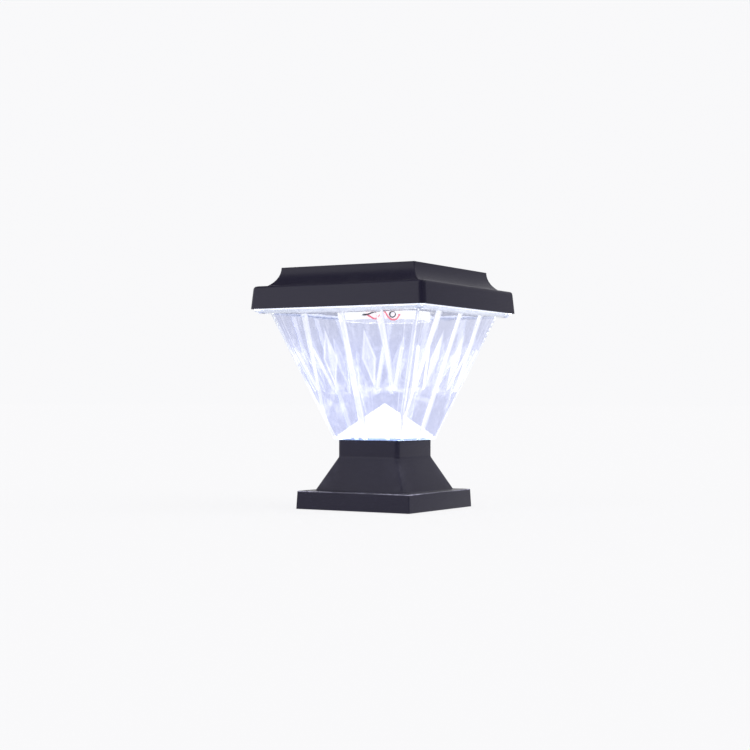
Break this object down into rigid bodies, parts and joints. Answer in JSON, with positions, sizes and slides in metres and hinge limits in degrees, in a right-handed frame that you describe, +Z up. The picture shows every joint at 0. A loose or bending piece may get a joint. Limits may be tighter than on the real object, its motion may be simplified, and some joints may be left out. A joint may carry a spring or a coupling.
{
  "type": "solar bollard light",
  "caption": "Square solar light for a post top or bollard: stepped foot, clear flared lampshade with raised ribs, and a coved cap that carries the solar panel.",
  "frame": {"origin": "centre of the foot's underside, on the ground", "axes": "+Z up through the neck, the shade and the cap; the walls face +X, -X, +Y and -Y; the push button points between +X and -Y"},
  "size_m": [0.155, 0.155, 0.1875],
  "materials": {
    "black_abs": "satin moulded, fine sheen",
    "clear_acrylic": "clear, polished, raised ribs on the outer faces",
    "white_abs": "smooth white moulding",
    "steel": "zinc-plated screws",
    "nickel": "nickel-plated spring plate",
    "black_foam": "closed-cell foam",
    "black_rubber": "soft black rubber and silicone",
    "black_trim": "satin black",
    "white_board": "white solder mask",
    "green_board": "green solder mask",
    "led_face": "LED with yellow phosphor face",
    "diffuser_plastic": "milky diffuser",
    "red_pvc": "insulated lead",
    "black_pvc": "insulated lead",
    "blue_wrap": "shrink-wrapped cell",
    "component_epoxy": "moulded components",
    "panel_backing": "white laminate backing",
    "silicon": "dark blue silicon cells",
    "tinned_ribbon": "tinned copper ribbon",
    "panel_glass": "clear laminated cover"
  },
  "bodies": {
    "light": {"base_shell": "black_abs", "base_screws": "steel", "lampshade": "clear_acrylic", "pyramid_reflector": "white_abs", "shade_screws": "steel", "cap_gasket": "black_foam", "ceiling_tray": "white_abs", "lead_grommet": "black_rubber", "lamp_housing": "white_abs", "lamp_screws": "steel", "led_board": "white_board", "led_chips": "led_face", "diffuser": "diffuser_plastic", "button_bezel": "black_trim", "switch_body": "black_trim", "led_lead_red": "red_pvc", "led_lead_black": "black_pvc", "switch_lead_red": "red_pvc", "battery_holder": "black_trim", "holder_screws": "steel", "battery_cell": "blue_wrap", "battery_contacts": "nickel", "battery_strap": "black_trim", "battery_lead_red": "red_pvc", "battery_lead_black": "black_pvc", "control_board": "green_board", "board_components": "component_epoxy", "board_screws": "steel", "cap_shell": "black_abs", "lead_seal": "black_rubber", "panel_lead_red": "red_pvc", "panel_lead_black": "black_pvc", "solar_board": "panel_backing", "solar_cells": "silicon", "cell_ribbons": "tinned_ribbon", "panel_cover": "panel_glass", "panel_seal": "black_rubber"},
    "button": {"push_button": "white_abs"}
  },
  "joints": [
    {"name": "button_press", "type": "slide", "parent": "light", "child": "button", "axis": [-0.6428, 0.766, 0], "range_m": [0, 0.001], "stiffness_N_per_m": 500, "springref_m": -0.0006}
  ]
}
